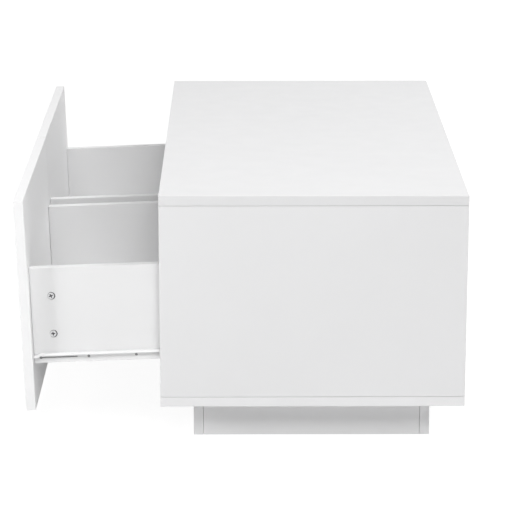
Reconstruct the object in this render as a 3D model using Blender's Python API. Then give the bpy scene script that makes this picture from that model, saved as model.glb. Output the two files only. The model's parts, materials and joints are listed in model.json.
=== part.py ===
"""A low rectangular coffee table with two wide drawers on roller runners.

The table's length runs along Y and the drawers open towards -X. Right and left are those of
a person who faces the drawers, so the right end is at -Y. The floor is at Z = 0.

Places are worked out for the closed table. What a drawer carries is a child of its slide
empty, which stands in the fully open place: pulled out by the travel, and tipped about the
front roller, because the rear rollers have play in their channels.
"""

from collections import namedtuple
from math import copysign, cos, pi, radians, sin, tan

import bmesh
import bpy
from mathutils import Matrix, Vector

# Body
body_length = 0.950
body_depth = 0.496
table_height = 0.420
board = 0.016
edge_round = 0.0008
fit_gap = 0.0003

# Plinth under the body
plinth_height = 0.067
plinth_setback = 0.053
plinth_board = 0.016

# Drawer fronts, which cover the body's long face
front_board = 0.016
front_end_reveal = 0.006
front_edge_reveal = 0.0005
fronts_apart = 0.003
front_standoff = 0.0015

# Drawer boxes
drawer_board = 0.015
drawer_length = 0.350
drawer_side_height = 0.159
drawer_floor_gap = 0.0594
bottom_board = 0.003
bottom_above_edge = 0.010
groove_depth = 0.006

# Runners of bent sheet steel
runner_gap = 0.0125
sheet = 0.0012
bend_radius = 0.0012
runner_rear_gap = 0.050
runner_length = drawer_length - runner_rear_gap
runner_height = 0.0174
runner_foot = 0.012
runner_reach = 0.0105
lip_depth = 0.0026
lip_clearance = 0.0005
nose_flat = 0.005
nose_ramp = 0.006
nose_dip = 0.0032
channel_setback = 0.002
channel_mouth = 0.0027
channel_opening = 0.026
stop_mouth_gap = 0.0005

# Holes in the runners' webs, as shares of the runner's length
runner_hole_shares = (0.036, 0.297, 0.555, 0.820)
channel_hole_shares = (0.115, 0.435, 0.860)
channel_slot_shares = (0.285, 0.640)
runner_slot_start_share = 0.036
runner_hole_radius = 0.0024
runner_hole_depth = 0.0082
runner_slot_length = 0.060
runner_slot_height = 0.0022
runner_slot_depth = 0.0079
channel_slot_length = 0.014

# Rollers and their axles
roller_radius = 0.0085
roller_width = 0.0063
roller_round = 0.0008
roller_setback = 0.016
rear_roller_inset = 0.012
roller_recess = 0.0015
recess_radius = 0.0050
axle_radius = 0.0025
axle_play = 0.0004
axle_head_radius = 0.0040
axle_head_height = 0.0010
axle_lug_radius = 0.0065
lug_skin = 0.0002

# Cam locks that pull the drawer sides to the front
cam_radius = 0.0075
cam_bore_depth = 0.0125
cam_inset = 0.034
cam_spacing = 0.064
cam_rim = 0.0008
cam_face_sink = 0.0004
cross_length = 0.0070
cross_width = 0.0017
cross_depth = 0.0026
cross_floor_share = 0.6
bolt_bore_radius = 0.0040
bolt_shank_radius = 0.0035
bolt_thread_radius = 0.0030
bolt_thread_length = 0.0105
bolt_neck_radius = 0.0018
bolt_neck_length = 0.0050
bolt_head_radius = 0.0030
bolt_head_length = 0.0040
cam_slot_radius = 0.0036

# Motion of a drawer, whose runner stays in the body by a part of its length
runner_kept_in = 0.095
travel = runner_length - runner_kept_in
sag = radians(2.1)

# Counts of facets, and two values that serve every cut and every join
cam_sides = 20
roller_sides = 16
hole_sides = 14
small_sides = 12
edge_steps = 2
bend_steps = 2
smooth_angle = radians(35)
overrun = 0.002
join_depth = 0.0005
weld = 0.000001

Carrier = namedtuple("Carrier", "empty home")
Bay = namedtuple("Bay", "name low high end_side")
table = Carrier(None, Vector())


def clear_scene():
    for item in list(bpy.data.objects):
        bpy.data.objects.remove(item, do_unlink=True)


def finish_of(name, colour, roughness, metallic):
    """Makes a material from its base colour, roughness and metallic value."""
    finish = bpy.data.materials.new(name)
    finish.use_nodes = True
    shader = finish.node_tree.nodes["Principled BSDF"]
    shader.inputs["Base Color"].default_value = (*colour, 1)
    shader.inputs["Roughness"].default_value = roughness
    shader.inputs["Metallic"].default_value = metallic
    finish.diffuse_color = (*colour, 1)
    return finish


def add_object(name, mesh, finish, centre, carrier):
    """Puts a mesh on its carrier, at a place given for the closed table."""
    item = bpy.data.objects.new(name, mesh)
    bpy.context.scene.collection.objects.link(item)
    if finish:
        own_finish = finish.copy()
        own_finish.name = name
        mesh.materials.append(own_finish)
    item.parent = carrier.empty
    item.location = Vector(centre) - carrier.home
    return item


def add_cutter(name, mesh, centre, carrier):
    """Adds a shape that only cuts or joins, and isn't a piece of the table."""
    tool = add_object(name, mesh, None, centre, carrier)
    tool.hide_render = True
    tool.display_type = "WIRE"
    return tool


def apply_boolean(target, tool, operation):
    """Cuts the tool out of the target, or joins it on."""
    step = target.modifiers.new(tool.name, "BOOLEAN")
    step.operation = operation
    step.solver = "EXACT"
    step.object = tool


def round_edges(item, radius):
    step = item.modifiers.new("rounded edges", "BEVEL")
    step.width = radius
    step.segments = edge_steps
    step.limit_method = "ANGLE"


def shade_round(mesh):
    mesh.shade_smooth()
    mesh.set_sharp_from_angle(angle=smooth_angle)


def mesh_from(name, shape):
    """Turns a finished bmesh into a mesh whose faces point out."""
    bmesh.ops.remove_doubles(shape, verts=shape.verts, dist=weld)
    bmesh.ops.recalc_face_normals(shape, faces=shape.faces)
    mesh = bpy.data.meshes.new(name)
    shape.to_mesh(mesh)
    shape.free()
    return mesh


def box_mesh(name, size):
    shape = bmesh.new()
    bmesh.ops.create_cube(shape, size=1)
    bmesh.ops.scale(shape, vec=size, verts=shape.verts)
    return mesh_from(name, shape)


def rod_mesh(name, radius, length, axis, sides):
    """A plain round bar, centred on its own origin, along X or Y."""
    turn = Matrix.Rotation(pi / 2, 3, "Y" if axis == "X" else "X")
    shape = bmesh.new()
    bmesh.ops.create_cone(
        shape, cap_ends=True, segments=sides, radius1=radius, radius2=radius, depth=length
    )
    bmesh.ops.rotate(shape, matrix=turn, verts=shape.verts)
    return mesh_from(name, shape)


def turned_mesh(name, profile, sides, axis="Y", bored=False):
    """Spins a profile of (radius, place along the axis) points about X or Y."""
    lengthwise = Vector((1, 0, 0)) if axis == "X" else Vector((0, 1, 0))
    outward = Vector((0, 0, 1))
    shape = bmesh.new()
    points = [shape.verts.new(outward * radius + lengthwise * along) for radius, along in profile]
    edges = [shape.edges.new(pair) for pair in zip(points, points[1:])]
    if bored:
        edges.append(shape.edges.new((points[-1], points[0])))
    bmesh.ops.spin(
        shape,
        geom=points + edges,
        axis=lengthwise,
        cent=(0, 0, 0),
        angle=2 * pi,
        steps=sides,
        use_merge=True,
    )
    mesh = mesh_from(name, shape)
    shade_round(mesh)
    return mesh


def lofted_mesh(name, sections):
    """Skins outlines in the YZ plane, each at its own place along X, and caps the ends."""
    shape = bmesh.new()
    rings = [[shape.verts.new((x, y, z)) for y, z in outline] for x, outline in sections]
    count = len(rings[0])
    for ring, following in zip(rings, rings[1:]):
        for i in range(count):
            j = (i + 1) % count
            shape.faces.new((ring[i], ring[j], following[j], following[i]))
    shape.faces.new(rings[0])
    shape.faces.new(rings[-1])
    mesh = mesh_from(name, shape)
    shade_round(mesh)
    return mesh


def slot_mesh(name, length, height, depth):
    """A slot cutter with round ends: long along X, tall along Z and deep along Y."""
    radius = height / 2
    reach = length / 2 - radius
    steps = hole_sides // 2
    outline = []
    for end in (1, -1):
        for i in range(steps + 1):
            angle = pi * i / steps - pi / 2
            outline.append((end * (reach + radius * cos(angle)), end * radius * sin(angle)))
    shape = bmesh.new()
    face = shape.faces.new([shape.verts.new((x, -depth / 2, z)) for x, z in outline])
    grown = bmesh.ops.extrude_face_region(shape, geom=[face])["geom"]
    moved = [part for part in grown if isinstance(part, bmesh.types.BMVert)]
    bmesh.ops.translate(shape, verts=moved, vec=(0, depth, 0))
    return mesh_from(name, shape)


def bent_sheet(path, thickness, radius):
    """Outline of a sheet bent along a path of straight runs, with round bends."""
    half = thickness / 2
    left, right = [], []

    def add(point, along):
        across = Vector((-along.y, along.x))
        left.append(point + across * half)
        right.append(point - across * half)

    corners = [Vector(point) for point in path]
    add(corners[0], (corners[1] - corners[0]).normalized())
    for before, corner, after in zip(corners, corners[1:], corners[2:]):
        arriving = (corner - before).normalized()
        leaving = (after - corner).normalized()
        turning = arriving.angle_signed(leaving)
        run = radius * tan(abs(turning) / 2)
        start = corner - arriving * run
        hand = copysign(1, arriving.x * leaving.y - arriving.y * leaving.x)
        centre = start + Vector((-arriving.y, arriving.x)) * hand * radius
        for i in range(bend_steps + 1):
            swing = hand * abs(turning) * i / bend_steps
            turned = Matrix.Rotation(swing, 2)
            add(centre + turned @ (start - centre), turned @ arriving)
    add(corners[-1], (corners[-1] - corners[-2]).normalized())
    return [tuple(point) for point in left + right[::-1]]


def add_board(name, low, high, finish, carrier=table):
    """A board with rounded edges, between two opposite corners."""
    low, high = Vector(low), Vector(high)
    item = add_object(name, box_mesh(name, high - low), finish, (low + high) / 2, carrier)
    round_edges(item, edge_round)
    return item


def cut_box(target, name, low, high, carrier):
    low, high = Vector(low), Vector(high)
    tool = add_cutter(name, box_mesh(name, high - low), (low + high) / 2, carrier)
    apply_boolean(target, tool, "DIFFERENCE")


def cut_rod(target, name, radius, start, length, axis, carrier, sides=small_sides):
    """Drills a round hole from a start point; a negative length drills the other way."""
    step = Vector((length, 0, 0)) if axis == "X" else Vector((0, length, 0))
    mesh = rod_mesh(name, radius, abs(length), axis, sides)
    tool = add_cutter(name, mesh, Vector(start) + step / 2, carrier)
    apply_boolean(target, tool, "DIFFERENCE")


# Places worked out from the sizes, all for the closed table
body_front = -body_depth / 2
body_back = body_depth / 2
body_right = -body_length / 2
body_left = body_length / 2
bottom_top = plinth_height + board
top_underside = table_height - board

front_inner = body_front - front_standoff
front_outer = front_inner - front_board
front_top = table_height - front_edge_reveal
front_low = plinth_height + front_edge_reveal
side_low = bottom_top + drawer_floor_gap
side_top = side_low + drawer_side_height
drawer_start = front_inner + fit_gap
drawer_end = front_inner + drawer_length

runner_low = side_low - fit_gap - sheet
runner_top = runner_low + runner_height
running_face = runner_top - sheet
runner_start = drawer_start + fit_gap
runner_end = runner_start + runner_length

pivot_x = body_front + roller_setback
pivot_z = running_face - fit_gap - roller_radius
rear_roller_x = runner_end - rear_roller_inset
roller_spacing = rear_roller_x - pivot_x

# Part way out, the rear roller stands above its place by tilt times distance from the pivot,
# which is greatest where the drawer is out by half the roller spacing
most_lift_at = roller_spacing / 2
rear_roller_lift = sag / travel * most_lift_at * (roller_spacing - most_lift_at)

channel_start = body_front + channel_setback
channel_top = runner_top - lip_depth - lip_clearance
channel_inside = 2 * roller_radius + rear_roller_lift + 2 * fit_gap
channel_low = channel_top - channel_inside - 2 * sheet
rear_roller_z = channel_low + sheet + fit_gap + roller_radius

web_outer = fit_gap + sheet
lip_inner = runner_reach - sheet
channel_web_outer = runner_gap - fit_gap
channel_web_inner = channel_web_outer - sheet
front_roller_centre = (web_outer + lip_inner) / 2
rear_roller_centre = (channel_mouth + channel_web_inner) / 2

cam_x = drawer_start + cam_inset
cam_heights = {
    "upper": (side_top + side_low) / 2 + cam_spacing / 2,
    "lower": (side_top + side_low) / 2 - cam_spacing / 2,
}
bottom_underside = side_low + bottom_above_edge
bottom_face = bottom_underside + bottom_board

bays = (
    Bay("right", body_right + board, -board / 2, -1),
    Bay("left", board / 2, body_left - board, 1),
)


def opened(place):
    """Where a point of the closed drawer, given in XZ, lies with the drawer fully open."""
    moved = Vector((place[0] - travel - pivot_x, place[1] - pivot_z))
    return Vector(
        (
            pivot_x + moved.x * cos(sag) - moved.y * sin(sag),
            pivot_z + moved.x * sin(sag) + moved.y * cos(sag),
        )
    )


def build_body(finish):
    """Top and bottom run full length; the ends, divider and back stand between them."""
    low_z = bottom_top + fit_gap
    high_z = top_underside - fit_gap
    add_board(
        "top_panel",
        (body_front, body_right, top_underside),
        (body_back, body_left, table_height),
        finish,
    )
    add_board(
        "bottom_panel",
        (body_front, body_right, plinth_height),
        (body_back, body_left, bottom_top),
        finish,
    )
    add_board(
        "right_end_panel",
        (body_front, body_right, low_z),
        (body_back, body_right + board, high_z),
        finish,
    )
    add_board(
        "left_end_panel",
        (body_front, body_left - board, low_z),
        (body_back, body_left, high_z),
        finish,
    )
    add_board(
        "divider_panel",
        (body_front, -board / 2, low_z),
        (body_back - board - fit_gap, board / 2, high_z),
        finish,
    )
    add_board(
        "back_panel",
        (body_back - board, body_right + board + fit_gap, low_z),
        (body_back, body_left - board - fit_gap, high_z),
        finish,
    )


def build_plinth(finish):
    """Two long boards cap three cross boards, all set back under the body."""
    top = plinth_height - fit_gap
    reach_x = body_depth / 2 - plinth_setback
    reach_y = body_length / 2 - plinth_setback
    inner_x = reach_x - plinth_board
    for name, side in (("plinth_front_board", -1), ("plinth_back_board", 1)):
        edges = sorted((side * reach_x, side * inner_x))
        add_board(name, (edges[0], -reach_y, 0), (edges[1], reach_y, top), finish)
    cross_boards = (
        ("plinth_right_board", -reach_y),
        ("plinth_middle_board", -plinth_board / 2),
        ("plinth_left_board", reach_y - plinth_board),
    )
    for name, start_y in cross_boards:
        add_board(
            name,
            (-inner_x + fit_gap, start_y, 0),
            (inner_x - fit_gap, start_y + plinth_board, top),
            finish,
        )


def add_drawer_carrier(bay):
    """Empties on the front rollers' axis: one tips, and its child is pulled out."""
    home = Vector((pivot_x, (bay.low + bay.high) / 2, pivot_z))
    tip = bpy.data.objects.new(f"{bay.name}_drawer_tip", None)
    slide = bpy.data.objects.new(f"{bay.name}_drawer_slide", None)
    for empty in (tip, slide):
        empty.empty_display_size = runner_gap
        bpy.context.scene.collection.objects.link(empty)
    tip.location = home
    tip.rotation_euler = (0, -sag, 0)
    slide.parent = tip
    slide.location = (-travel, 0, 0)
    return Carrier(slide, home)


def build_drawer_box(bay, finish, bottom_finish, carrier):
    """A front with a low box behind it: two sides, a back and a thin grooved-in bottom."""
    name = f"{bay.name}_drawer"
    outer_reach = body_length / 2 - front_end_reveal
    front_edges = sorted((bay.end_side * outer_reach, bay.end_side * fronts_apart / 2))
    front = add_board(
        f"{name}_front",
        (front_outer, front_edges[0], front_low),
        (front_inner, front_edges[1], front_top),
        finish,
        carrier,
    )
    box_low = bay.low + runner_gap
    box_high = bay.high - runner_gap
    inner_low = box_low + drawer_board
    inner_high = box_high - drawer_board
    groove_low = inner_low - groove_depth
    groove_high = inner_high + groove_depth
    groove_bottom = bottom_underside - fit_gap
    groove_top = bottom_face + fit_gap
    cut_box(
        front,
        f"{name}_front_groove",
        (front_inner - groove_depth, groove_low, groove_bottom),
        (front_inner + overrun, groove_high, groove_top),
        carrier,
    )
    for part, face, wall in (("low", box_low, inner_low), ("high", box_high, inner_high)):
        end_side = -1 if part == "low" else 1
        which = "outer" if end_side == bay.end_side else "inner"
        edges = sorted((face, wall))
        side = add_board(
            f"{name}_{which}_side",
            (drawer_start, edges[0], side_low),
            (drawer_end, edges[1], side_top),
            finish,
            carrier,
        )
        edges = sorted((wall + end_side * groove_depth, wall - end_side * overrun))
        cut_box(
            side,
            f"{name}_{which}_groove",
            (drawer_start - overrun, edges[0], groove_bottom),
            (drawer_end + overrun, edges[1], groove_top),
            carrier,
        )
        drill_for_cams(bay, which, face, end_side, side, front, carrier)
    add_board(
        f"{name}_back",
        (drawer_end - drawer_board, inner_low + fit_gap, bottom_face + fit_gap),
        (drawer_end, inner_high - fit_gap, side_top),
        finish,
        carrier,
    )
    low = Vector((front_inner - groove_depth + fit_gap, groove_low + fit_gap, bottom_underside))
    high = Vector((drawer_end, groove_high - fit_gap, bottom_face))
    mesh = box_mesh(f"{name}_bottom", high - low)
    add_object(f"{name}_bottom", mesh, bottom_finish, (low + high) / 2, carrier)


def drill_for_cams(bay, which, face, end_side, side, front, carrier):
    """Bores a side for its two cams, and the front and the side for their bolts."""
    middle = face - end_side * drawer_board / 2
    for level, height in cam_heights.items():
        name = f"{bay.name}_{which}_{level}"
        cut_rod(
            side,
            f"{name}_cam_bore",
            cam_radius,
            (cam_x, face + end_side * overrun, height),
            -end_side * (overrun + cam_bore_depth),
            "Y",
            carrier,
            cam_sides,
        )
        cut_rod(
            side,
            f"{name}_bolt_bore",
            bolt_bore_radius,
            (drawer_start - overrun, middle, height),
            overrun + cam_inset,
            "X",
            carrier,
        )
        cut_rod(
            front,
            f"{name}_thread_bore",
            bolt_thread_radius + fit_gap,
            (front_inner + overrun, middle, height),
            -(overrun + bolt_thread_length + fit_gap),
            "X",
            carrier,
        )


def cross_recess_mesh(name, end_side):
    """A cross-shaped driver recess that narrows towards its floor."""
    reach, half = cross_length / 2, cross_width / 2
    arm = ((half, half), (half, reach), (-half, reach))
    outline = []
    for quarter in range(4):
        turn = Matrix.Rotation(quarter * pi / 2, 2)
        outline.extend(turn @ Vector(point) for point in arm)
    mouth = end_side * overrun
    floor = -end_side * (cam_face_sink + cross_depth)
    shape = bmesh.new()
    upper = [shape.verts.new((x, mouth, z)) for x, z in outline]
    lower = [
        shape.verts.new((x * cross_floor_share, floor, z * cross_floor_share)) for x, z in outline
    ]
    count = len(outline)
    for i in range(count):
        j = (i + 1) % count
        shape.faces.new((upper[i], upper[j], lower[j], lower[i]))
    shape.faces.new(upper)
    shape.faces.new(lower)
    return mesh_from(name, shape)


def build_cams(bay, which, face, end_side, finish, bolt_finish, carrier):
    """Each side's two cams, flush with its outer face, and the bolts they grip."""
    radius = cam_radius - fit_gap
    sink = -end_side * cam_face_sink
    depth = -end_side * (cam_bore_depth - fit_gap)
    profile = (
        (0, sink),
        (radius - cam_rim, sink),
        (radius - cam_rim, 0),
        (radius, 0),
        (radius, depth),
        (0, depth),
    )
    middle = face - end_side * drawer_board / 2
    for level, height in cam_heights.items():
        name = f"{bay.name}_{which}_{level}"
        cam = add_object(
            f"{name}_cam",
            turned_mesh(f"{name}_cam", profile, cam_sides),
            finish,
            (cam_x, face, height),
            carrier,
        )
        recess = cross_recess_mesh(f"{name}_cam_cross", end_side)
        tool = add_cutter(f"{name}_cam_cross", recess, (cam_x, face, height), carrier)
        apply_boolean(cam, tool, "DIFFERENCE")
        cut_rod(
            cam,
            f"{name}_cam_slot",
            cam_slot_radius,
            (cam_x - cam_radius - overrun, middle, height),
            overrun + cam_radius + bolt_head_length / 2 + fit_gap,
            "X",
            carrier,
        )
        build_bolt(name, middle, height, bolt_finish, carrier)


def build_bolt(name, middle, height, finish, carrier):
    """A bolt screwed into the front, with a long shank and a head held in the cam."""
    head_end = cam_x + bolt_head_length / 2
    head_start = head_end - bolt_head_length
    neck_start = head_start - bolt_neck_length
    base = front_inner - bolt_thread_length
    profile = (
        (0, 0),
        (bolt_thread_radius, 0),
        (bolt_thread_radius, drawer_start - base),
        (bolt_shank_radius, drawer_start - base),
        (bolt_shank_radius, neck_start - base),
        (bolt_neck_radius, neck_start - base),
        (bolt_neck_radius, head_start - base),
        (bolt_head_radius, head_start - base),
        (bolt_head_radius, head_end - base),
        (0, head_end - base),
    )
    mesh = turned_mesh(f"{name}_bolt", profile, small_sides, axis="X")
    add_object(f"{name}_bolt", mesh, finish, (base, middle, height), carrier)


def runner_outline(end_side, dip):
    """Section of the drawer's runner; y counts from the drawer side's outer face."""
    half = sheet / 2
    web = fit_gap + half
    running = runner_top - half - dip
    path = (
        (-runner_foot, runner_low + half),
        (web, runner_low + half),
        (web, running),
        (runner_reach - half, running),
        (runner_reach - half, runner_top - dip - lip_depth),
    )
    outline = bent_sheet(path, sheet, bend_radius)
    return [(end_side * y, z - pivot_z) for y, z in outline]


def build_drawer_runner(name, face, end_side, finish, carrier):
    """The drawer's runner: a foot under the side, a web with holes, and a lipped flange."""
    sections = (
        (0, runner_outline(end_side, nose_dip)),
        (nose_flat, runner_outline(end_side, nose_dip)),
        (nose_flat + nose_ramp, runner_outline(end_side, 0)),
        (runner_length, runner_outline(end_side, 0)),
    )
    node = f"{name}_drawer_runner"
    mesh = lofted_mesh(node, sections)
    runner = add_object(node, mesh, finish, (runner_start, face, pivot_z), carrier)
    inside = (face - end_side * overrun, end_side * (2 * overrun + web_outer))
    for i, share in enumerate(runner_hole_shares):
        cut_rod(
            runner,
            f"{node}_hole_{i}",
            runner_hole_radius,
            (runner_start + share * runner_length, inside[0], runner_top - runner_hole_depth),
            inside[1],
            "Y",
            carrier,
            hole_sides,
        )
    slot_start = runner_start + runner_slot_start_share * runner_length
    slot = add_cutter(
        f"{node}_slot",
        slot_mesh(f"{node}_slot", runner_slot_length, runner_slot_height, abs(inside[1])),
        (
            slot_start + runner_slot_length / 2,
            inside[0] + inside[1] / 2,
            runner_top - runner_slot_depth,
        ),
        carrier,
    )
    apply_boolean(runner, slot, "DIFFERENCE")
    axle = rear_axle_mesh(f"{node}_axle", end_side)
    place = (rear_roller_x, face, rear_roller_z)
    apply_boolean(runner, add_cutter(f"{node}_axle", axle, place, carrier), "UNION")


def rear_axle_mesh(name, end_side):
    """The riveted axle of a rear roller, with the lug that carries it on the web."""
    inner_floor = rear_roller_centre - roller_width / 2 + roller_recess
    outer_floor = rear_roller_centre + roller_width / 2 - roller_recess
    places = (
        (0, fit_gap + lug_skin),
        (axle_lug_radius, fit_gap + lug_skin),
        (axle_lug_radius, web_outer - lug_skin),
        (axle_head_radius, web_outer - lug_skin),
        (axle_head_radius, inner_floor - fit_gap),
        (axle_radius, inner_floor - fit_gap),
        (axle_radius, outer_floor + fit_gap),
        (axle_head_radius, outer_floor + fit_gap),
        (axle_head_radius, outer_floor + fit_gap + axle_head_height),
        (0, outer_floor + fit_gap + axle_head_height),
    )
    profile = [(radius, end_side * along) for radius, along in places]
    return turned_mesh(name, profile, small_sides)


def roller_mesh(name):
    """A plastic roller with a rounded tread, a bore and a recess for the axle's head."""
    half = roller_width / 2
    bore = axle_radius + axle_play
    profile = (
        (bore, -half + roller_recess),
        (recess_radius, -half + roller_recess),
        (recess_radius, -half),
        (roller_radius - roller_round, -half),
        (roller_radius, -half + roller_round),
        (roller_radius, half - roller_round),
        (roller_radius - roller_round, half),
        (recess_radius, half),
        (recess_radius, half - roller_recess),
        (bore, half - roller_recess),
    )
    return turned_mesh(name, profile, roller_sides, bored=True)


def build_channel(name, face, end_side, finish):
    """The body's runner: a channel on the wall, with its front roller's end left open."""
    half = sheet / 2
    web = channel_web_outer - half
    path = (
        (channel_mouth, channel_low + half),
        (web, channel_low + half),
        (web, channel_top - half),
        (channel_mouth, channel_top - half),
    )
    outline = [
        (end_side * y, z - pivot_z) for y, z in bent_sheet(path, sheet, bend_radius)
    ]
    node = f"{name}_body_runner"
    mesh = lofted_mesh(node, ((0, outline), (runner_length, outline)))
    channel = add_object(node, mesh, finish, (channel_start, face, pivot_z), table)
    opening_edges = sorted(
        (face + end_side * (channel_mouth - overrun), face + end_side * channel_web_inner)
    )
    cut_box(
        channel,
        f"{node}_mouth",
        (channel_start - overrun, opening_edges[0], pivot_z),
        (channel_start + channel_opening, opening_edges[1], channel_top + overrun),
        table,
    )
    drill_start = face + end_side * (channel_web_inner - overrun)
    drill_length = end_side * (sheet + 2 * overrun)
    cut_rod(
        channel,
        f"{node}_axle_hole",
        axle_radius + axle_play,
        (pivot_x, drill_start, pivot_z),
        drill_length,
        "Y",
        table,
    )
    middle = (channel_low + channel_top) / 2
    for i, share in enumerate(channel_hole_shares):
        cut_rod(
            channel,
            f"{node}_hole_{i}",
            runner_hole_radius,
            (channel_start + share * runner_length, drill_start, middle),
            drill_length,
            "Y",
            table,
            hole_sides,
        )
    for i, share in enumerate(channel_slot_shares):
        slot = add_cutter(
            f"{node}_slot_{i}",
            slot_mesh(
                f"{node}_slot_{i}", channel_slot_length, 2 * runner_hole_radius, abs(drill_length)
            ),
            (channel_start + share * runner_length, drill_start + drill_length / 2, middle),
            table,
        )
        apply_boolean(channel, slot, "DIFFERENCE")
    add_out_stop(channel, node, face, end_side)


def add_out_stop(channel, node, face, end_side):
    """A tab across the channel, which the rear roller meets when the drawer is fully out."""
    roller = opened((rear_roller_x, rear_roller_z))
    stop_face = roller.x - roller_radius - fit_gap
    edges = sorted(
        (
            face + end_side * (channel_mouth + stop_mouth_gap),
            face + end_side * (channel_web_inner + join_depth),
        )
    )
    low = Vector((stop_face - sheet, edges[0], roller.y))
    high = Vector((stop_face, edges[1], channel_top - join_depth))
    tool = add_cutter(f"{node}_out_stop", box_mesh(node, high - low), (low + high) / 2, table)
    apply_boolean(channel, tool, "UNION")


def front_axle_mesh(name, end_side):
    """The stepped axle of a front roller, riveted through the channel's web."""
    inner_floor = front_roller_centre - roller_width / 2 + roller_recess
    outer_floor = front_roller_centre + roller_width / 2 - roller_recess
    head_end = inner_floor - fit_gap
    places = (
        (0, head_end - axle_head_height),
        (axle_head_radius, head_end - axle_head_height),
        (axle_head_radius, head_end),
        (axle_radius, head_end),
        (axle_radius, outer_floor + fit_gap),
        (axle_head_radius, outer_floor + fit_gap),
        (axle_head_radius, channel_web_inner - fit_gap),
        (axle_radius, channel_web_inner - fit_gap),
        (axle_radius, channel_web_outer),
        (0, channel_web_outer),
    )
    profile = [(radius, end_side * along) for radius, along in places]
    return turned_mesh(name, profile, small_sides)


def build_rollers(name, face, end_side, finish, axle_finish, carrier):
    """The body's front roller on its axle, and the drawer's rear roller."""
    front = f"{name}_front_roller"
    place = (pivot_x, face + end_side * front_roller_centre, pivot_z)
    add_object(front, roller_mesh(front), finish, place, table)
    axle = f"{name}_front_axle"
    place = (pivot_x, face, pivot_z)
    add_object(axle, front_axle_mesh(axle, end_side), axle_finish, place, table)
    rear = f"{name}_rear_roller"
    place = (rear_roller_x, face + end_side * rear_roller_centre, rear_roller_z)
    add_object(rear, roller_mesh(rear), finish, place, carrier)


def build_table():
    """Builds the whole table, one drawer bay after the other."""
    clear_scene()
    lacquer = finish_of("white gloss board", (0.86, 0.86, 0.87), 0.16, 0)
    foil = finish_of("white drawer bottom", (0.80, 0.80, 0.81), 0.45, 0)
    coated_steel = finish_of("white coated steel", (0.84, 0.84, 0.84), 0.35, 0)
    nylon = finish_of("natural nylon", (0.78, 0.78, 0.75), 0.5, 0)
    zinc = finish_of("cast zinc", (0.58, 0.58, 0.59), 0.4, 1)
    plated_steel = finish_of("plated steel", (0.62, 0.62, 0.64), 0.3, 1)
    build_body(lacquer)
    build_plinth(lacquer)
    for bay in bays:
        carrier = add_drawer_carrier(bay)
        build_drawer_box(bay, lacquer, foil, carrier)
        for wall, end_side in ((bay.low, -1), (bay.high, 1)):
            which = "outer" if end_side == bay.end_side else "inner"
            name = f"{bay.name}_{which}"
            face = wall - end_side * runner_gap
            build_drawer_runner(name, face, end_side, coated_steel, carrier)
            build_channel(name, face, end_side, coated_steel)
            build_rollers(name, face, end_side, nylon, plated_steel, carrier)
            build_cams(bay, which, face, end_side, zinc, plated_steel, carrier)
    for finish in (lacquer, foil, coated_steel, nylon, zinc, plated_steel):
        bpy.data.materials.remove(finish)


build_table()
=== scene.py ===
"""The looks of a white coffee table with two drawers on roller runners.

Right and left are those of a person who faces the drawers, which open towards -X. The right
end is at -Y, and it is the end that the camera sees.
"""

import json
from collections import namedtuple
from math import cos, pi, radians, sin

import bmesh
import bpy
from mathutils import Matrix, Vector
from mathutils.geometry import tessellate_polygon


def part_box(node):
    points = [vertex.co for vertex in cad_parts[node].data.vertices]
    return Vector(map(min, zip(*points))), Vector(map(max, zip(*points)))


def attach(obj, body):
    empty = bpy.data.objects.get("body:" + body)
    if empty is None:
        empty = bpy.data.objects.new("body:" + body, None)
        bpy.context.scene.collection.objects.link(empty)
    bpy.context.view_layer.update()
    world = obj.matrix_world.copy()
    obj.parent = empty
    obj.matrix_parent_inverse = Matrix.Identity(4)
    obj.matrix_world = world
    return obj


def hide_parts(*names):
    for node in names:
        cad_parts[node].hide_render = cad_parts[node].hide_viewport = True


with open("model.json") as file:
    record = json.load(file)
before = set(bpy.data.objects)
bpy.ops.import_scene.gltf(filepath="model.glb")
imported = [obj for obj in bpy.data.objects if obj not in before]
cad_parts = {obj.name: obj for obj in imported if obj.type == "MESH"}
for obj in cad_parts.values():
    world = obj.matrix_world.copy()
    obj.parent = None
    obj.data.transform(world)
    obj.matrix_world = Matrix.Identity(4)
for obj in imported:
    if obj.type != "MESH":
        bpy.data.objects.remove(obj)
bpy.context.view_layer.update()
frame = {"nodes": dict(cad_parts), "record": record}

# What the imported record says: each node's slot and body, and how a drawer moves
record = frame["record"]
slot_names = {part["node"]: part["material_slot"] for part in record["subparts"]}
body_names = {
    node: body for body, nodes in record["behaviour"]["bodies"].items() for node in nodes
}
joints = {joint["name"]: joint for joint in record["behaviour"]["joints"]}
travel = joints["right_drawer_slide"]["range_m"][1]
sag = radians(joints["right_drawer_tip"]["range_deg"][1])
pivot_x, _, pivot_z = joints["right_drawer_tip"]["pos_m"]
pivot = Vector((pivot_x, 0, pivot_z))

# The four drawer sides, with the way along Y that their outer faces look
sides = {"right_outer": -1, "right_inner": 1, "left_outer": 1, "left_inner": -1}

# Camera, in metres, degrees and, for its lens and sensor, millimetres; the picture is square
camera_place = (-0.1111, -4.2422, 1.3478)
camera_down = 15.276
camera_right = 0.325
camera_lens = 170.25
camera_sensor = 36.0

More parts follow.
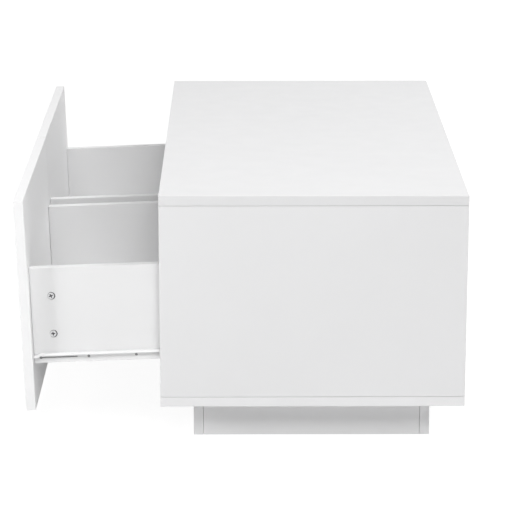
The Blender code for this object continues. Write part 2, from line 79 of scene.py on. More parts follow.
# Lamps by name, with their place, aim, size and watts
key_power = 23.5
front_power = 19.0
far_power = 166.0
top_power = 10.5
right_power = 103.0
fill_power = 6.5
rear_power = 5.0
end_power = 60.0
drawers_power = 16.0
lamps = {
    "key": ((-2.5, -1.45, 1.15), (-0.15, -0.35, 0.22), (0.45, 0.9), key_power),
    "front": ((0.2, -2.6, 2.9), (-0.1, -0.2, 0.2), (2.2, 1.4), front_power),
    "far": ((-0.2, -4.8, 4.6), (-0.1, 0.0, 0.2), (3.2, 2.2), far_power),
    "top": ((-0.3, 0.1, 3.2), (-0.1, 0.1, 0.3), (2.4, 2.0), top_power),
    "right": ((2.6, 0.1, 3.8), (-0.25, 0.0, 0.3), (2.3, 2.3), right_power),
    "fill": ((0.4, -4.6, 1.0), (0.0, 0.0, 0.2), (2.4, 1.6), fill_power),
    "rear": ((3.0, 2.4, 1.3), (0.0, 0.1, 0.2), (1.6, 1.4), rear_power),
    "end": ((-0.8, 4.6, 0.60), (-0.1, 0.3, 0.2), (2.6, 0.9), end_power),
    "drawers": ((-4.4, 0.9, 0.75), (-0.3, 0.2, 0.25), (2.6, 1.0), drawers_power),
}

# Lamps that no surface mirrors, as they would whiten the top at a grazing angle
dull_lamps = ("end",)

# World: the light that it gives, and the background that it shows, where a strength of 1 is white
world_colour = (1.0, 1.0, 1.0)
world_strength = 0.10
background_colour = (1.0, 1.0, 1.0)
background_strength = 1.0

# Floor: the colour that light meets, and the nearly white paint that the camera sees
floor_size = 30.0
floor_drop = 0.0002
floor_colour = (0.80, 0.80, 0.80)
shown_floor_colour = (0.14, 0.14, 0.14)
shown_floor_glow = 0.93

# Whites of the boards, and what their edge tapes are of them. These carry painted light and shade:
# one white lacquer is set darker on the brightly lit top and lighter on the plinth and fronts,
# which stand in shade, and each slot's tape share is set to how bright that edge looks under the
# lamps
top_white = (0.745, 0.745, 0.750)
body_white = (0.766, 0.766, 0.771)
plinth_white = (0.834, 0.834, 0.838)
front_white = (0.925, 0.925, 0.928)
box_white = (0.791, 0.791, 0.794)
plain_tape_share = 0.985
bright_tape_share = 1.03
front_tape_share = 0.94

# How much a board's white varies, and how far at least its faces' normals go along its thin axis
white_spread_share = 0.008
face_limit = 0.5

# Tones that the other finishes waver between
fibreboard_tones = ((0.845, 0.845, 0.848), (0.865, 0.865, 0.867))
coat_tones = ((0.892, 0.892, 0.895), (0.900, 0.900, 0.902))
nylon_tones = ((0.74, 0.735, 0.70), (0.79, 0.785, 0.75))
plate_tones = ((0.56, 0.565, 0.58), (0.68, 0.68, 0.69))
bright_zinc_tones = ((0.60, 0.60, 0.61), (0.70, 0.70, 0.71))
# Painted shade: the near-black tone on the locks' hollows
hollow_shade_tones = ((0.10, 0.10, 0.105), (0.17, 0.17, 0.175))
# Painted shade: the grey of the strips that darken the runners' holes and slot
hole_shade_tones = ((0.36, 0.36, 0.363), (0.43, 0.43, 0.433))

# Roughness, from the lowest to the highest, and specular levels
body_haze = (0.28, 0.40)
front_haze = (0.52, 0.62)
foil_haze = (0.32, 0.44)
fibreboard_haze = (0.42, 0.56)
coat_haze = (0.30, 0.34)
nylon_haze = (0.36, 0.50)
plate_haze = (0.24, 0.42)
zinc_haze = (0.34, 0.50)
# Roughness of the grey sheet of painted shade behind the runners' webs
hole_shade_roughness = 0.9
gloss_specular = 0.2
satin_specular = 0.3

# How light spreads in nylon: its weight, and how far red, green and blue go, in metres
nylon_spread = 0.25
nylon_spread_radius = (0.0015, 0.0014, 0.0011)

# The middle range of a noise's values, which patterns are made from
noise_low = 0.3
noise_high = 0.7

# Sockets of a Mix node that mixes colours
mix_factor = 0
mix_first = 6
mix_second = 7
mix_result = 2

# Steel of the runners, in metres as all that follows, and the play beside a roller
sheet = 0.0012
fit_gap = 0.0003

# Rollers, turned from nylon
roller_radius = 0.0085
roller_width = 0.0063
roller_round = 0.0007
roller_recess = 0.0015
recess_radius = 0.0050
recess_round = 0.0004
hub_radius = 0.0040
hub_rise = 0.0002
bore_radius = 0.0029

# Stepped axles of the front rollers, riveted through the channel's web
axle_radius = 0.0025
axle_head_radius = 0.0040
axle_head_height = 0.0010
axle_head_round = 0.0004
axle_dimple_radius = 0.0011
axle_dimple_depth = 0.0003
axle_collar_start = 0.0049

# Driver's crosses in the cams and screws: the share of its mouth that a cross's floor has
cross_floor_share = 0.6

# Cam locks: a disc with a cross, which stands to one side over a dark crescent; the crescent and
# the cross's hollows carry painted shade
cam_radius = 0.0072
cam_depth = 0.0122
cam_edge = 0.0003
cam_disc_radius = 0.0054
cam_disc_shift = 0.0008
cam_disc_sink = 0.0003
cam_disc_height = 0.0024
cam_disc_end = cam_disc_sink + cam_disc_height
cam_cross_reach = 0.0035
cam_cross_half = 0.0009
cam_cross_depth = 0.0026
cam_turns = {"upper": radians(24), "lower": radians(8)}

# The slot in a cam that grips its bolt's head, from just beyond the axis to well past the rim
cam_slot_radius = 0.0036
cam_slot_depth = 0.0075
cam_slot_reach = 0.0023
cam_slot_end = 2 * cam_radius

# White collars that fill the bores round the cams' discs
collar_inside = 0.0064
collar_outside = 0.00745
collar_sink = 0.00005
collar_edge = 0.0001

# Countersunk screws in the web of each of the body's runners, each rolled on from the last
screw_shares = (0.115, 0.435, 0.860)
screw_radius = 0.00225
screw_sink = 0.0001
screw_edge = 0.00015
screw_depth = 0.0010
screw_cross_reach = 0.0014
screw_cross_half = 0.00035
screw_cross_depth = 0.0008
screw_roll = radians(35)

# Painted shade: grey strips behind the webs of the drawers' runners, which stand in for the shade
# in the web's holes and slot, placed as in a closed drawer
strip_thickness = 0.00015
strip_face_gap = 0.00005
strip_start = -0.2485
strip_end = 0.0505
strip_low = 0.1431
strip_high = 0.1534
strip_corner = 0.001

# Counts of facets round a circle, and in a rounded edge
round_sides = 64
arc_steps = 5

# How meshes are joined and shaded
merge_distance = 0.000002
smooth_angle = radians(40)

# How a piece that is made to face -Y is turned
half_turn = Matrix.Rotation(pi, 4, "Z")
no_turn = Matrix.Identity(4)

# A noise: its scale per metre, its detail and, where it isn't even, its density along each axis
Pattern = namedtuple("Pattern", "scale detail density", defaults=(None,))


def add_node(tree, kind, inputs=None, **settings):
    """Adds a node; an input is a plain value, a colour, or the socket that it is linked to."""
    node = tree.nodes.new(kind)
    for name, value in settings.items():
        setattr(node, name, value)
    for name, value in (inputs or {}).items():
        socket = node.inputs[name]
        if isinstance(value, bpy.types.NodeSocket):
            tree.links.new(value, socket)
        elif socket.type == "RGBA":
            socket.default_value = (*value, 1)
        else:
            socket.default_value = value
    return node


def new_material(name, metallic=0.0):
    """A material, its tree and shader, and the place on the object that patterns are read at."""
    material = bpy.data.materials.new(name)
    material.use_nodes = True
    tree = material.node_tree
    shader = tree.nodes["Principled BSDF"]
    shader.inputs["Metallic"].default_value = metallic
    place = add_node(tree, "ShaderNodeTexCoord").outputs["Object"]
    return material, tree, shader, place


def noise(tree, place, pattern):
    """Noise from 0 to 1 by a pattern."""
    if pattern.density:
        inputs = {"Vector": place, "Scale": pattern.density}
        place = add_node(tree, "ShaderNodeMapping", inputs).outputs["Vector"]
    inputs = {"Vector": place, "Scale": pattern.scale, "Detail": pattern.detail}
    return add_node(tree, "ShaderNodeTexNoise", inputs).outputs["Fac"]


def ranged(tree, value, low=0.0, high=1.0):
    """Maps a noise's middle range to the range from low to high."""
    inputs = {
        "Value": value,
        "From Min": noise_low,
        "From Max": noise_high,
        "To Min": low,
        "To Max": high,
    }
    return add_node(tree, "ShaderNodeMapRange", inputs).outputs["Result"]


def blended(tree, factor, first, second):
    """Mixes two colours, or the sockets that give them, by a pattern."""
    inputs = {mix_factor: factor, mix_first: first, mix_second: second}
    return add_node(tree, "ShaderNodeMix", inputs, data_type="RGBA").outputs[mix_result]


def bumped(tree, pattern, height, below=None):
    """A bump of a real height, on top of another bump if one is given."""
    inputs = {"Height": pattern, "Distance": height}
    if below:
        inputs["Normal"] = below
    return add_node(tree, "ShaderNodeBump", inputs).outputs["Normal"]


def plug(tree, shader, **sockets):
    """Links sockets to the shader's inputs, whose names have spaces for underscores."""
    for name, socket in sockets.items():
        tree.links.new(socket, shader.inputs[name.replace("_", " ")])


def taped_edges(tree, axis):
    """1 on the narrow edges of a board that is thin along the given axis, and 0 on its faces."""
    facing_way = add_node(tree, "ShaderNodeTexCoord").outputs["Normal"]
    parts = add_node(tree, "ShaderNodeSeparateXYZ", {"Vector": facing_way})
    size = add_node(tree, "ShaderNodeMath", {0: parts.outputs[axis]}, operation="ABSOLUTE")
    limits = {0: size.outputs[0], 1: face_limit}
    return add_node(tree, "ShaderNodeMath", limits, operation="LESS_THAN").outputs[0]


def wavering(tree, place, pattern, white):
    """A white that wavers a little from place to place."""
    low = [value * (1 - white_spread_share) for value in white]
    high = [value * (1 + white_spread_share) for value in white]
    return blended(tree, ranged(tree, noise(tree, place, pattern)), low, high)


def board_colour(tree, place, axis, white, tape_share, face_clouds, tape_clouds):
    """A board's white, and a tape on its edges whose white is a share of it."""
    tape_white = [value * tape_share for value in white]
    face = wavering(tree, place, face_clouds, white)
    tape = wavering(tree, place, tape_clouds, tape_white)
    return blended(tree, taped_edges(tree, axis), face, tape)


def gloss_board(name, axis, white, tape_share, haze_range=body_haze):
    """White lacquered board: soft haze over a faint ripple and orange peel."""
    material, tree, shader, place = new_material(name)
    face_clouds = Pattern(scale=4.0, detail=3.0)
    tape_clouds = Pattern(scale=12.0, detail=3.0)
    hazes = Pattern(scale=26.0, detail=4.0)
    ripples = Pattern(scale=420.0, detail=1.0)
    peel = Pattern(scale=1500.0, detail=2.0)
    colour = board_colour(tree, place, axis, white, tape_share, face_clouds, tape_clouds)
    haze = ranged(tree, noise(tree, place, hazes), *haze_range)
    rippled = bumped(tree, noise(tree, place, ripples), height=0.000006)
    peeled = bumped(tree, noise(tree, place, peel), height=0.000004, below=rippled)
    plug(tree, shader, Base_Color=colour, Roughness=haze, Normal=peeled)
    shader.inputs["Specular IOR Level"].default_value = gloss_specular
    return material


def soft_gloss_board(name, axis, white, tape_share):
    """The fronts' lacquer, with more haze."""
    return gloss_board(name, axis, white, tape_share, front_haze)


def satin_board(name, axis, white, tape_share):
    """White foiled board of the drawer boxes: satin, with a fine embossed pearl."""
    material, tree, shader, place = new_material(name)
    face_clouds = Pattern(scale=5.0, detail=3.0)
    tape_clouds = Pattern(scale=14.0, detail=3.0)
    hazes = Pattern(scale=30.0, detail=3.0)
    pearl = Pattern(scale=2200.0, detail=2.0)
    colour = board_colour(tree, place, axis, white, tape_share, face_clouds, tape_clouds)
    haze = ranged(tree, noise(tree, place, hazes), *foil_haze)
    pearled = bumped(tree, noise(tree, place, pearl), height=0.000012)
    plug(tree, shader, Base_Color=colour, Roughness=haze, Normal=pearled)
    shader.inputs["Specular IOR Level"].default_value = satin_specular
    return material


def grained(name, tones, clouds, haze_range, hazes, grain, grain_height, metallic=0.0):
    """A material whose tone and haze waver by two patterns, with a grain in relief."""
    material, tree, shader, place = new_material(name, metallic)
    colour = blended(tree, ranged(tree, noise(tree, place, clouds)), *tones)
    haze = ranged(tree, noise(tree, place, hazes), *haze_range)
    relief = bumped(tree, noise(tree, place, grain), grain_height)
    plug(tree, shader, Base_Color=colour, Roughness=haze, Normal=relief)
    return material


def painted_fibreboard(name):
    """Thin white-faced fibreboard, with the soft print of its fibres."""
    fibres = Pattern(scale=160.0, detail=6.0)
    return grained(
        name,
        tones=fibreboard_tones,
        clouds=fibres,
        haze_range=fibreboard_haze,
        hazes=Pattern(scale=40.0, detail=3.0),
        grain=fibres,
        grain_height=0.00003,
    )


def coated_steel(name):
    """White powder coat on sheet steel, slightly pebbled."""
    return grained(
        name,
        tones=coat_tones,
        clouds=Pattern(scale=60.0, detail=3.0),
        haze_range=coat_haze,
        hazes=Pattern(scale=300.0, detail=2.0),
        grain=Pattern(scale=1300.0, detail=2.0),
        grain_height=0.000002,
    )


def nylon(name):
    """Natural nylon, a little translucent, with fine moulding marks."""
    material = grained(
        name,
        tones=nylon_tones,
        clouds=Pattern(scale=180.0, detail=3.0),
        haze_range=nylon_haze,
        hazes=Pattern(scale=700.0, detail=2.0),
        grain=Pattern(scale=2600.0, detail=2.0),
        grain_height=0.00001,
    )
    shader = material.node_tree.nodes["Principled BSDF"]
    shader.inputs["Subsurface Weight"].default_value = nylon_spread
    shader.inputs["Subsurface Radius"].default_value = nylon_spread_radius
    return material


def plated_steel(name):
    """Zinc-plated steel with fine marks round its turned surfaces."""
    marks = Pattern(scale=500.0, detail=3.0, density=(8.0, 1.0, 8.0))
    return grained(
        name,
        tones=plate_tones,
        clouds=Pattern(scale=220.0, detail=4.0),
        haze_range=plate_haze,
        hazes=marks,
        grain=marks,
        grain_height=0.00001,
        metallic=1.0,
    )


def cast_zinc(name, tones=bright_zinc_tones):
    """Die-cast zinc: dull and lightly pitted."""
    pits = Pattern(scale=900.0, detail=4.0)
    return grained(
        name,
        tones=tones,
        clouds=Pattern(scale=260.0, detail=3.0),
        haze_range=zinc_haze,
        hazes=pits,
        grain=pits,
        grain_height=0.00002,
        metallic=1.0,
    )


def painted_hollow_shade(name):
    """Painted shade: a near-black zinc on a lock's hollows, which stands in for the shade in its
    cross and in the crescent below its disc.
    """
    return cast_zinc(name, hollow_shade_tones)


def painted_hole_shade(name):
    """A grey sheet with short fibres: painted shade that stands in for the shade behind a runner's
    web.
    """
    material, tree, shader, place = new_material(name)
    fibres = Pattern(scale=1800.0, detail=5.0, density=(0.4, 1.0, 1.0))
    fibre = noise(tree, place, fibres)
    colour = blended(tree, ranged(tree, fibre), *hole_shade_tones)
    plug(tree, shader, Base_Color=colour, Normal=bumped(tree, fibre, height=0.00004))
    shader.inputs["Roughness"].default_value = hole_shade_roughness
    return material


# Boards by slot: the finish, its white, and its edge tape's share of that white; the whites and
# shares hold painted light and shade
boards = {
    "top_board": (gloss_board, top_white, plain_tape_share),
    "body_boards": (gloss_board, body_white, bright_tape_share),
    "plinth_boards": (gloss_board, plinth_white, plain_tape_share),
    "drawer_fronts": (soft_gloss_board, front_white, front_tape_share),
    "drawer_boxes": (satin_board, box_white, plain_tape_share),
}

# The other slots' finishes
finishes = {
    "drawer_bottoms": painted_fibreboard,
    "drawer_runners": coated_steel,
    "body_runners": coated_steel,
    "rollers": nylon,
    "axles": plated_steel,
    "cams": cast_zinc,
    "bolts": plated_steel,
}


def shading_group():
    """Joins the split corners of a CAD mesh and shades it smooth, but for its sharp edges."""
    group = bpy.data.node_groups.new("even_shading", "GeometryNodeTree")
    for way in ("INPUT", "OUTPUT"):
        group.interface.new_socket("Geometry", in_out=way, socket_type="NodeSocketGeometry")
    mesh = group.nodes.new("NodeGroupInput").outputs[0]
    inputs = {"Geometry": mesh, "Name": "custom_normal"}
    mesh = add_node(group, "GeometryNodeRemoveAttribute", inputs).outputs[0]
    inputs = {"Geometry": mesh, "Distance": merge_distance}
    mesh = add_node(group, "GeometryNodeMergeByDistance", inputs).outputs[0]
    mesh = add_node(group, "GeometryNodeSetShadeSmooth", {"Geometry": mesh}).outputs[0]
    angle = add_node(group, "GeometryNodeInputMeshEdgeAngle").outputs["Unsigned Angle"]
    inputs = {"A": angle, "B": smooth_angle}
    gentle = add_node(group, "FunctionNodeCompare", inputs, operation="LESS_THAN").outputs[0]
    inputs = {"Geometry": mesh, "Shade Smooth": gentle}
    mesh = add_node(group, "GeometryNodeSetShadeSmooth", inputs, domain="EDGE").outputs[0]
    add_node(group, "NodeGroupOutput", {0: mesh})
    return group


def node_corners(node):
    """A node's lowest and highest corners."""
    low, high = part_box(node)
    return Vector(low), Vector(high)


def board_material(node, slot, materials):
    """A board's material, one for each slot and for each axis that its boards are thin along."""
    low, high = node_corners(node)
    spans = list(high - low)
    axis = spans.index(min(spans))
    key = f"{slot}_{'xyz'[axis]}"
    if key not in materials:
        make, white, tape_share = boards[slot]
        materials[key] = make(key, axis, white, tape_share)
    return materials[key]


def dress_cad_nodes(materials):
    """Gives each CAD node its slot's material and even shading."""
    group = shading_group()
    for node, item in frame["nodes"].items():
        slot = slot_names[node]
        if slot in boards:
            material = board_material(node, slot, materials)
        else:
            material = materials[slot]
        item.data.materials.clear()
        item.data.materials.append(material)
        item.modifiers.new("even_shading", "NODES").node_group = group
        item.modifiers.new("flat_faces", "WEIGHTED_NORMAL").keep_sharp = True


def facing(ending):
    """Nodes whose names end so, with the side, -1 or 1 along Y, that their outer faces look to."""
    return {
        node: side
        for node in sorted(frame["nodes"])
        for start, side in sides.items()
        if node.startswith(start) and node.endswith(ending)
    }


def arc(centre, radius, start, end):
    """Points of a rounded corner, from one angle to another in quarter turns."""
    points = []
    for i in range(arc_steps + 1):
        angle = (start + (end - start) * i / arc_steps) * pi / 2
        points.append((centre[0] + radius * cos(angle), centre[1] + radius * sin(angle)))
    return points


def skin(shape, ring, following):
    """Joins two rings of as many corners with a band of faces."""
    for i in range(len(ring)):
        j = (i + 1) % len(ring)
        shape.faces.new((ring[i], ring[j], following[j], following[i]))


def turned(shape, profile):
    """Skins rings about the Y axis, from points of (radius, place), and leaves the ends open."""
    turns = [2 * pi * i / round_sides for i in range(round_sides)]
    rings = [
        [shape.verts.new((radius * cos(turn), along, radius * sin(turn))) for turn in turns]
        for radius, along in profile
    ]
    for ring, following in zip(rings, rings[1:]):
        skin(shape, ring, following)
    return rings


def fill_round(shape, ring, hole):
    """Fills a flat face that looks along Y, between its ring of corners and a hole's."""
    loops = [[Vector((vert.co.x, vert.co.z, 0)) for vert in loop] for loop in (ring, hole)]
    corners = ring + hole
    for triangle in tessellate_polygon(loops):
        shape.faces.new([corners[i] for i in triangle])


def cross_outline(reach, half):
    """A cross whose arms have round ends, with one arm straight up."""
    outline = []
    for quarter in range(4):
        turn = Matrix.Rotation(quarter * pi / 2, 2)
        arm = [(half, half)] + arc((0, reach - half), half, 0, 2)
        outline.extend(turn @ Vector(point) for point in arm)
    return outline


def close_with_cross(shape, ring, reach, half, depth, turn=0.0):
    """Closes a ring with a face that has a driver's cross in it, tapered towards its floor."""
    along = ring[0].co.y
    turning = Matrix.Rotation(turn, 2)
    outline = [turning @ point for point in cross_outline(reach, half)]
    mouth = [shape.verts.new((x, along, z)) for x, z in outline]
    floor = [
        shape.verts.new((x * cross_floor_share, along + depth, z * cross_floor_share))
        for x, z in outline
    ]
    fill_round(shape, ring, mouth)
    skin(shape, mouth, floor)
    shape.faces.new(floor)


def finished_mesh(name, shape, material):
    """Turns a bmesh into a mesh with its faces pointing out, smooth but for its sharp edges."""
    bmesh.ops.remove_doubles(shape, verts=shape.verts, dist=merge_distance)
    bmesh.ops.recalc_face_normals(shape, faces=shape.faces)
    mesh = bpy.data.meshes.new(name)
    shape.to_mesh(mesh)
    shape.free()
    mesh.shade_smooth()
    mesh.set_sharp_from_angle(angle=smooth_angle)
    mesh.materials.append(material)
    return mesh


def add_piece(name, mesh, place, body, node=None):
    """Puts a piece in its place, on the body that it rides on, instead of a CAD node if given."""
    piece = bpy.data.objects.new(name, mesh)
    bpy.context.scene.collection.objects.link(piece)
    piece.matrix_world = place
    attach(piece, body)
    if node:
        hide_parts(node)


def faced(node, side):
    """A place in the middle of a node's outer face, turned so that -Y points out of it."""
    low, high = node_corners(node)
    middle = (low + high) / 2
    middle.y = low.y if side < 0 else high.y
    return Matrix.Translation(middle) @ (half_turn if side > 0 else no_turn)


def roller_mesh(material):
    """A roller with a rounded tread, a filleted recess on both sides and a hub round its bore."""
    half = roller_width / 2
    floor = half - roller_recess
    profile = [
        (bore_radius, floor + hub_rise),
        (hub_radius, floor + hub_rise),
        (hub_radius, floor),
    ]
    profile += arc((recess_radius - recess_round, floor + recess_round), recess_round, -1, 0)
    profile += [(recess_radius, half)]
    profile += arc((roller_radius - roller_round, half - roller_round), roller_round, 1, 0)
    other_side = [(radius, -along) for radius, along in reversed(profile)]
    shape = bmesh.new()
    turned(shape, profile + other_side + profile[:1])
    return finished_mesh("roller", shape, material)


def build_rollers(material):
    """The front and rear rollers, which turn about their own axes."""
    mesh = roller_mesh(material)
    for node in sorted(frame["nodes"]):
        if node.endswith("_roller"):
            low, high = node_corners(node)
            place = Matrix.Translation((low + high) / 2)
            add_piece(f"{node}_turned", mesh, place, node, node)


def axle_mesh(material, length):
    """A riveted axle: its head with a dimple at -Y, and a collar that stands on the web."""
    rim = axle_head_radius - axle_head_round
    collar_end = length - sheet - fit_gap
    profile = [(axle_dimple_radius / 2, axle_dimple_depth), (axle_dimple_radius, 0)]
    profile += arc((rim, axle_head_round), axle_head_round, -1, 0)
    profile += [
        (axle_head_radius, axle_head_height),
        (axle_radius, axle_head_height),
        (axle_radius, axle_collar_start),
        (axle_head_radius, axle_collar_start),
        (axle_head_radius, collar_end),
        (axle_radius, collar_end),
        (axle_radius, length),
    ]
    shape = bmesh.new()
    rings = turned(shape, profile)
    shape.faces.new(rings[0])
    shape.faces.new(rings[-1])
    return finished_mesh("axle", shape, material)


def build_axles(material):
    """The front rollers' axles, with their heads away from the bays' walls."""
    for node, side in facing("_front_axle").items():
        low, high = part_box(node)
        mesh = axle_mesh(material, high[1] - low[1])
        place = faced(node, -side)
        add_piece(f"{node}_riveted", mesh, place, body_names[node], node)


def slot_cutter(start, end):
    """A cylinder along X for a cam's slot, from one place along X to another."""
    shape = bmesh.new()
    bmesh.ops.create_cone(
        shape,
        cap_ends=True,
        segments=round_sides,
        radius1=cam_slot_radius,
        radius2=cam_slot_radius,
        depth=end - start,
    )
    turn = Matrix.Rotation(pi / 2, 4, "Y")
    move = Matrix.Translation(((start + end) / 2, cam_slot_depth, 0))
    bmesh.ops.transform(shape, matrix=move @ turn, verts=shape.verts)
    mesh = bpy.data.meshes.new("slot")
    shape.to_mesh(mesh)
    shape.free()
    return bpy.data.objects.new("slot", mesh)


def cut_slot(mesh, start, end):
    """Cuts a round slot for the bolt's head into a cam."""
    tool = slot_cutter(start, end)
    target = bpy.data.objects.new("cut", mesh)
    for item in (tool, target):
        bpy.context.scene.collection.objects.link(item)
    step = target.modifiers.new("slot", "BOOLEAN")
    step.solver = "EXACT"
    step.object = tool
    bpy.context.view_layer.update()
    seen = target.evaluated_get(bpy.context.evaluated_depsgraph_get())
    cut = bpy.data.meshes.new_from_object(seen)
    for item in (tool, target):
        bpy.data.objects.remove(item)
    return cut


def cam_mesh(bright, dark, level, mirrored):
    """A cam lock: a disc with a cross in it, to one side over a lower and wider body."""
    rim = cam_disc_radius - cam_edge
    edge_end = cam_disc_sink + cam_edge
    shape = bmesh.new()
    profile = [(rim - cam_edge, cam_disc_sink)]
    profile += arc((rim, edge_end), cam_edge, -1, 0)
    profile += [(cam_disc_radius, cam_disc_end)]
    disc = turned(shape, profile)
    close_with_cross(
        shape, disc[0], cam_cross_reach, cam_cross_half, cam_cross_depth, cam_turns[level]
    )
    shift = cam_disc_shift if mirrored else -cam_disc_shift
    bmesh.ops.translate(shape, vec=(shift, 0, 0), verts=shape.verts)
    body = turned(shape, [(cam_radius, cam_disc_end), (cam_radius, cam_depth)])
    shape.faces.new(body[-1])
    fill_round(shape, body[0], disc[-1])
    mesh = finished_mesh(f"{level}_cam", shape, bright)
    mesh.materials.append(dark)
    # Painted shade: faces deeper than the disc's rounded edge, the cross and the crescent, take
    # the darker material
    for face in mesh.polygons:
        face.material_index = int(face.center.y > edge_end)
    if mirrored:
        return cut_slot(mesh, -cam_slot_reach, cam_slot_end)
    return cut_slot(mesh, -cam_slot_end, cam_slot_reach)


def collar_mesh(material):
    """A thin collar that fills the bore round a lock's disc."""
    edge = collar_sink + collar_edge
    profile = [(collar_inside, cam_disc_end)]
    profile += arc((collar_inside + collar_edge, edge), collar_edge, 2, 3)
    profile += arc((collar_outside - collar_edge, edge), collar_edge, -1, 0)
    profile += [(collar_outside, cam_disc_end)]
    shape = bmesh.new()
    turned(shape, profile + profile[:1])
    return finished_mesh("collar", shape, material)


def build_cams(bright, dark, white):
    """The locks, each with a white collar round its disc."""
    collar = collar_mesh(white)
    for level in cam_turns:
        meshes = {side: cam_mesh(bright, dark, level, side > 0) for side in (-1, 1)}
        for node, side in facing(f"_{level}_cam").items():
            place, body = faced(node, side), body_names[node]
            add_piece(f"{node}_lock", meshes[side], place, body, node)
            add_piece(f"{node}_collar", collar, place, body)


def screw_mesh(material):
    """A screw's head with a cross in it, and a flat back."""
    profile = arc((screw_radius - screw_edge, screw_edge), screw_edge, -1, 0)
    profile += [(screw_radius, screw_depth)]
    shape = bmesh.new()
    rings = turned(shape, profile)
    close_with_cross(shape, rings[0], screw_cross_reach, screw_cross_half, screw_cross_depth)
    shape.faces.new(rings[-1])
    return finished_mesh("screw", shape, material)


def build_screws(material):
    """Three countersunk screws in the web of each of the body's runners."""
    mesh = screw_mesh(material)
    for node, side in facing("_body_runner").items():
        low, high = node_corners(node)
        head_y = (high.y if side > 0 else low.y) - side * (sheet - screw_sink)
        for i, share in enumerate(screw_shares):
            x = low.x + share * (high.x - low.x)
            place = Matrix.Translation((x, head_y, (low.z + high.z) / 2))
            turn = half_turn if side < 0 else no_turn
            roll = Matrix.Rotation(screw_roll * i, 4, "Y")
            add_piece(f"{node}_screw_{i}", mesh, place @ turn @ roll, body_names[node])


def opened():
    """The move that takes a closed drawer to its open place, where it tips on its rollers."""
    out = Matrix.Translation(-pivot - Vector((travel, 0, 0)))
    return Matrix.Translation(pivot) @ Matrix.Rotation(-sag, 4, "Y") @ out


def strip_mesh(material):
    """A thin strip with round corners, in the XZ plane."""
    x_low, x_high = strip_start + strip_corner, strip_end - strip_corner
    z_low, z_high = strip_low + strip_corner, strip_high - strip_corner
    centres = ((x_high, z_high), (x_low, z_high), (x_low, z_low), (x_high, z_low))
    outline = []
    for quarter, centre in enumerate(centres):
        outline += arc(centre, strip_corner, quarter, quarter + 1)
    shape = bmesh.new()
    near, far = (
        [shape.verts.new((x, side * strip_thickness / 2, z)) for x, z in outline]
        for side in (-1, 1)
    )
    skin(shape, near, far)
    shape.faces.new(near)
    shape.faces.new(far)
    return finished_mesh("shade_strip", shape, material)


def build_strips(material):
    """A strip of painted shade behind each drawer runner, which shows dark through the web's holes
    where shade would be.
    """
    mesh = strip_mesh(material)
    for start, side in sides.items():
        low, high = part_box(f"{start.replace('_', '_drawer_')}_side")
        face = low[1] if side < 0 else high[1]
        y = face + side * (strip_face_gap + strip_thickness / 2)
        place = opened() @ Matrix.Translation((0, y, 0))
        body = body_names[f"{start}_drawer_runner"]
        add_piece(f"{start}_shade_strip", mesh, place, body)


def emptied_tree(owner):
    """A world's or a material's node tree, with nothing in it."""
    owner.use_nodes = True
    owner.node_tree.nodes.clear()
    return owner.node_tree


def lit_or_shown(tree, light, shown):
    """A shader for light, and another for what the camera sees, also mirrored or through glass."""
    rays = add_node(tree, "ShaderNodeLightPath").outputs
    seen = rays["Is Camera Ray"]
    for kind in ("Is Glossy Ray", "Is Transmission Ray"):
        both = {0: seen, 1: rays[kind]}
        seen = add_node(tree, "ShaderNodeMath", both, operation="ADD", use_clamp=True).outputs[0]
    mixed = add_node(
        tree, "ShaderNodeMixShader", {0: seen, 1: light.outputs[0], 2: shown.outputs[0]}
    )
    return mixed.outputs[0]


def build_world():
    """An even soft light, behind a background that shows as white."""
    world = bpy.data.worlds.new("studio")
    bpy.context.scene.world = world
    tree = emptied_tree(world)
    light = add_node(
        tree, "ShaderNodeBackground", {"Color": world_colour, "Strength": world_strength}
    )
    shown = add_node(
        tree,
        "ShaderNodeBackground",
        {"Color": background_colour, "Strength": background_strength},
    )
    add_node(tree, "ShaderNodeOutputWorld", {"Surface": lit_or_shown(tree, light, shown)})


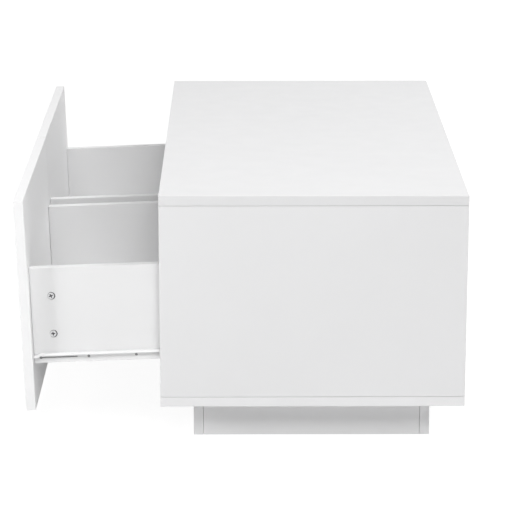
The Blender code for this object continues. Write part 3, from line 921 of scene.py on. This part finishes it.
def build_floor():
    """A pale floor, shown nearly white, that keeps a soft shadow of the table."""
    bpy.ops.mesh.primitive_plane_add(size=floor_size, location=(0, 0, -floor_drop))
    floor = bpy.context.object
    floor.name = "floor"
    material = bpy.data.materials.new("floor_paint")
    tree = emptied_tree(material)
    light = add_node(tree, "ShaderNodeBsdfDiffuse", {"Color": floor_colour})
    shade = add_node(tree, "ShaderNodeBsdfDiffuse", {"Color": shown_floor_colour})
    glow = add_node(tree, "ShaderNodeEmission", {"Strength": shown_floor_glow})
    shown = add_node(tree, "ShaderNodeAddShader", {0: shade.outputs[0], 1: glow.outputs[0]})
    add_node(tree, "ShaderNodeOutputMaterial", {"Surface": lit_or_shown(tree, light, shown)})
    floor.data.materials.append(material)


def add_lamp(name, place, aim, size, power):
    """A soft rectangular lamp that faces a point."""
    lamp = bpy.data.lights.new(name, "AREA")
    lamp.shape = "RECTANGLE"
    lamp.size, lamp.size_y = size
    lamp.energy = power
    item = bpy.data.objects.new(name, lamp)
    item.location = place
    item.rotation_euler = (Vector(aim) - Vector(place)).to_track_quat("-Z", "Y").to_euler()
    item.visible_camera = False
    item.visible_glossy = name not in dull_lamps
    bpy.context.scene.collection.objects.link(item)


def build_lights():
    """The world and the lamps."""
    build_world()
    for name, (place, aim, size, power) in lamps.items():
        add_lamp(name, place, aim, size, power)


def build_camera():
    """A plain camera that looks down at the table's right end."""
    camera = bpy.data.cameras.new("camera")
    camera.lens = camera_lens
    camera.sensor_width = camera_sensor
    item = bpy.data.objects.new("camera", camera)
    item.location = camera_place
    item.rotation_euler = (radians(90 - camera_down), 0, radians(-camera_right))
    bpy.context.scene.collection.objects.link(item)
    bpy.context.scene.camera = item


bpy.context.scene.view_settings.view_transform = "Standard"
build_camera()
build_lights()
build_floor()
materials = {slot: make(slot) for slot, make in finishes.items()}
dress_cad_nodes(materials)
build_rollers(materials["rollers"])
build_axles(materials["axles"])
# The locks' hollows get a material of painted shade
build_cams(materials["cams"], painted_hollow_shade("hollow_shade_zinc"), materials["drawer_boxes_y"])
build_screws(materials["axles"])
# The strips behind the runners' webs are painted shade
build_strips(painted_hole_shade("hole_shade_sheet"))
